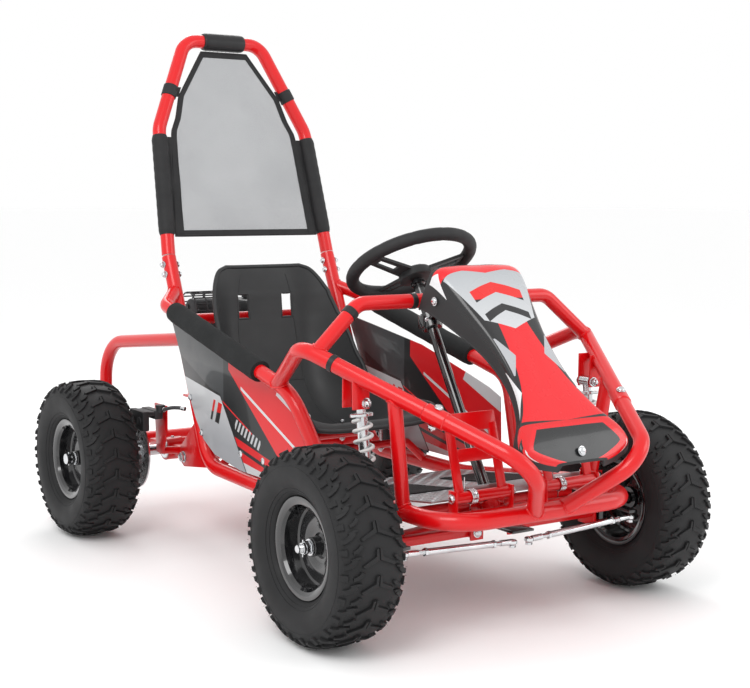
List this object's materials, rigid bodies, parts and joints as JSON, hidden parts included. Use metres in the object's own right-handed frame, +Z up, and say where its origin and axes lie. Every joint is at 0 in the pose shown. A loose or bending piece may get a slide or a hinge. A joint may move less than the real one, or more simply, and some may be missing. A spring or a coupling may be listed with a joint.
{
  "type": "off-road kart",
  "caption": "Child-size off-road kart: bent-tube chassis with roll bar, sprung front arms and rear swing arm, steering, pedals, seat, panels and engine.",
  "frame": {"origin": "on the ground, under the middle of the kart's length and width", "axes": "-Y is forwards, +X is the driver's left, +Z is up"},
  "size_m": [0.95, 1.5511, 1.1815],
  "materials": {
    "red_powder_coat": "gloss",
    "black_gloss_steel": "gloss",
    "bright_zinc": "bright",
    "tyre_rubber": "moulded rubber",
    "hose_rubber": "braided",
    "foam_cover": "matt foam",
    "moulded_plastic": "fine grain",
    "mesh_fabric": "woven mesh",
    "black_cloth": "coated cloth",
    "chequer_plate": "embossed",
    "cast_engine": "cast, black",
    "grey_spring": "gloss"
  },
  "bodies": {
    "chassis": {"floor_frame": "red_powder_coat", "side_rail_left": "red_powder_coat", "side_rail_right": "red_powder_coat", "front_rail_left": "red_powder_coat", "front_rail_right": "red_powder_coat", "dash_hoop": "red_powder_coat", "rear_guard": "red_powder_coat", "front_bumper": "red_powder_coat", "roll_bar": "red_powder_coat", "roll_bar_screen": "mesh_fabric", "roll_bar_sleeve_left": "black_cloth", "roll_bar_sleeve_right": "black_cloth", "roll_bar_top_pad": "black_cloth", "side_pad_left": "foam_cover", "side_pad_right": "foam_cover", "floor_plate": "chequer_plate", "seat": "moulded_plastic", "nose_fairing": "moulded_plastic", "side_panel_left": "moulded_plastic", "side_panel_right": "moulded_plastic", "column_bracket": "black_gloss_steel"},
    "steering": {"steering_wheel": "moulded_plastic", "steering_column": "black_gloss_steel"},
    "swing_arm": {"swing_arm": "red_powder_coat", "engine_block": "cast_engine", "recoil_starter": "moulded_plastic", "fuel_tank": "moulded_plastic", "muffler": "cast_engine", "drive_clutch": "cast_engine", "chain": "bright_zinc", "brake_caliper": "black_gloss_steel", "brake_hose": "hose_rubber"},
    "rear_axle": {"rear_axle": "bright_zinc", "tyre_rear_left": "tyre_rubber", "rim_rear_left": "black_gloss_steel", "tyre_rear_right": "tyre_rubber", "rim_rear_right": "black_gloss_steel", "brake_disc": "bright_zinc", "axle_sprocket": "black_gloss_steel"},
    "rear_shock_body": {"rear_shock_body": "bright_zinc", "rear_shock_spring": "grey_spring"},
    "rear_shock_rod": {"rear_shock_rod": "bright_zinc"},
    "brake_pedal": {"brake_pedal": "red_powder_coat"},
    "throttle_pedal": {"throttle_pedal": "red_powder_coat"},
    "front_arm_left": {"front_arm_left": "red_powder_coat"},
    "knuckle_left": {"knuckle_left": "black_gloss_steel"},
    "tie_rod_left": {"tie_rod_left": "bright_zinc"},
    "front_wheel_left": {"tyre_front_left": "tyre_rubber", "rim_front_left": "black_gloss_steel"},
    "front_shock_left_body": {"front_shock_left_body": "bright_zinc", "front_shock_left_spring": "grey_spring"},
    "front_shock_left_rod": {"front_shock_left_rod": "bright_zinc"},
    "front_arm_right": {"front_arm_right": "red_powder_coat"},
    "knuckle_right": {"knuckle_right": "black_gloss_steel"},
    "tie_rod_right": {"tie_rod_right": "bright_zinc"},
    "front_wheel_right": {"tyre_front_right": "tyre_rubber", "rim_front_right": "black_gloss_steel"},
    "front_shock_right_body": {"front_shock_right_body": "bright_zinc", "front_shock_right_spring": "grey_spring"},
    "front_shock_right_rod": {"front_shock_right_rod": "bright_zinc"}
  },
  "joints": [
    {"name": "steer", "type": "hinge", "parent": "chassis", "child": "steering", "pos_m": [0, -0.2314, 0.657], "axis": [0, 0.515, 0.8572], "range_deg": [-26, 26]},
    {"name": "front_arm_left", "type": "hinge", "parent": "chassis", "child": "front_arm_left", "pos_m": [0.045, -0.47, 0.165], "axis": [0, -1, 0], "range_deg": [-6, 4], "stiffness_Nm_per_rad": 420, "springref_deg": -5.73},
    {"name": "kingpin_left", "type": "hinge", "parent": "front_arm_left", "child": "knuckle_left", "pos_m": [0.29, -0.495, 0.18], "axis": [0, 0, 1], "range_deg": [-15.5, 15.5]},
    {"name": "tie_rod_left", "type": "slide", "parent": "front_arm_left", "child": "tie_rod_left", "axis": [1, 0, 0], "range_m": [-0.029, 0.029]},
    {"name": "front_wheel_left", "type": "hinge", "parent": "knuckle_left", "child": "front_wheel_left", "pos_m": [0.372, -0.495, 0.18], "axis": [1, 0, 0], "continuous": true},
    {"name": "front_shock_left", "type": "hinge", "parent": "chassis", "child": "front_shock_left_body", "pos_m": [0.275, -0.462, 0.425], "axis": [0, 1, 0], "range_deg": [-2.6, 1.8]},
    {"name": "front_damper_left", "type": "slide", "parent": "front_shock_left_body", "child": "front_shock_left_rod", "axis": [0.0265, 0.1325, 0.9908], "range_m": [-0.025, 0.0165], "deforming": ["front_shock_left_spring"]},
    {"name": "front_arm_right", "type": "hinge", "parent": "chassis", "child": "front_arm_right", "pos_m": [-0.045, -0.47, 0.165], "axis": [0, 1, 0], "range_deg": [-6, 4], "stiffness_Nm_per_rad": 420, "springref_deg": -5.73},
    {"name": "kingpin_right", "type": "hinge", "parent": "front_arm_right", "child": "knuckle_right", "pos_m": [-0.29, -0.495, 0.18], "axis": [0, 0, 1], "range_deg": [-15.5, 15.5]},
    {"name": "tie_rod_right", "type": "slide", "parent": "front_arm_right", "child": "tie_rod_right", "axis": [1, 0, 0], "range_m": [-0.029, 0.029]},
    {"name": "front_wheel_right", "type": "hinge", "parent": "knuckle_right", "child": "front_wheel_right", "pos_m": [-0.372, -0.495, 0.18], "axis": [1, 0, 0], "continuous": true},
    {"name": "front_shock_right", "type": "hinge", "parent": "chassis", "child": "front_shock_right_body", "pos_m": [-0.275, -0.462, 0.425], "axis": [0, -1, 0], "range_deg": [-2.6, 1.8]},
    {"name": "front_damper_right", "type": "slide", "parent": "front_shock_right_body", "child": "front_shock_right_rod", "axis": [-0.0265, 0.1325, 0.9908], "range_m": [-0.025, 0.0165], "deforming": ["front_shock_right_spring"]},
    {"name": "swing_arm", "type": "hinge", "parent": "chassis", "child": "swing_arm", "pos_m": [0, 0.365, 0.183], "axis": [1, 0, 0], "range_deg": [-6, 6], "stiffness_Nm_per_rad": 900, "springref_deg": -3.44},
    {"name": "rear_axle", "type": "hinge", "parent": "swing_arm", "child": "rear_axle", "pos_m": [0, 0.495, 0.18], "axis": [1, 0, 0], "continuous": true},
    {"name": "rear_shock", "type": "hinge", "parent": "chassis", "child": "rear_shock_body", "pos_m": [0, 0.412, 0.455], "axis": [1, 0, 0], "range_deg": [-1, 1]},
    {"name": "rear_damper", "type": "slide", "parent": "rear_shock_body", "child": "rear_shock_rod", "axis": [0, -0.1193, 0.9929], "range_m": [-0.0085, 0.0085], "deforming": ["rear_shock_spring"]},
    {"name": "brake_pedal", "type": "hinge", "parent": "chassis", "child": "brake_pedal", "pos_m": [0.105, -0.605, 0.26], "axis": [1, 0, 0], "range_deg": [0, 25], "stiffness_Nm_per_rad": 2, "springref_deg": -20.05},
    {"name": "throttle_pedal", "type": "hinge", "parent": "chassis", "child": "throttle_pedal", "pos_m": [-0.105, -0.605, 0.26], "axis": [1, 0, 0], "range_deg": [0, 25], "stiffness_Nm_per_rad": 2, "springref_deg": -20.05}
  ],
  "couplings": [
    {"joint": "kingpin_left", "follows": "steer", "ratio": 0.58},
    {"joint": "tie_rod_left", "follows": "steer", "m_per_rad": 0.0615},
    {"joint": "front_shock_left", "follows": "front_arm_left", "ratio": 0.4},
    {"joint": "front_damper_left", "follows": "front_arm_left", "m_per_rad": 0.221},
    {"joint": "kingpin_right", "follows": "steer", "ratio": 0.58},
    {"joint": "tie_rod_right", "follows": "steer", "m_per_rad": 0.0615},
    {"joint": "front_shock_right", "follows": "front_arm_right", "ratio": 0.4},
    {"joint": "front_damper_right", "follows": "front_arm_right", "m_per_rad": 0.221},
    {"joint": "rear_shock", "follows": "swing_arm", "ratio": -0.15},
    {"joint": "rear_damper", "follows": "swing_arm", "m_per_rad": 0.077}
  ]
}
